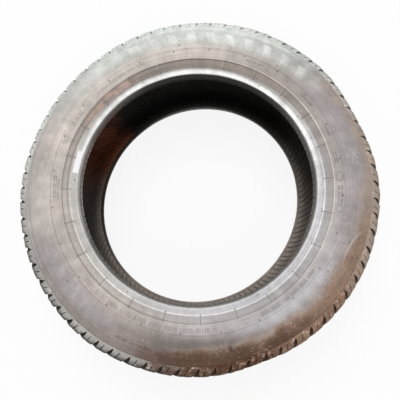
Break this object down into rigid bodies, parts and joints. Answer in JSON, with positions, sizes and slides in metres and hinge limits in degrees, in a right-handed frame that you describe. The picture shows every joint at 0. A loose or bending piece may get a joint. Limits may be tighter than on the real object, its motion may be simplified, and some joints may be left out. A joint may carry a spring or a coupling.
{
  "type": "car tyre",
  "caption": "Worn radial car tyre off its rim: hollow section open between two bead seats, ribbed sidewalls, grooved tread and a blank bead label.",
  "frame": {"origin": "on the tyre axis, in the plane of the floor that the lower sidewall rests on", "axes": "+Z along the tyre axis, upwards to the sidewall with the label; +X towards the side opposite the label"},
  "size_m": [0.6279, 0.628, 0.208],
  "materials": {
    "rubber": "weathered matte rubber with dried mud and dust",
    "label": "blank white sticker"
  },
  "bodies": {
    "root": {"tyre": "rubber", "bead_label": "label"}
  },
  "joints": []
}
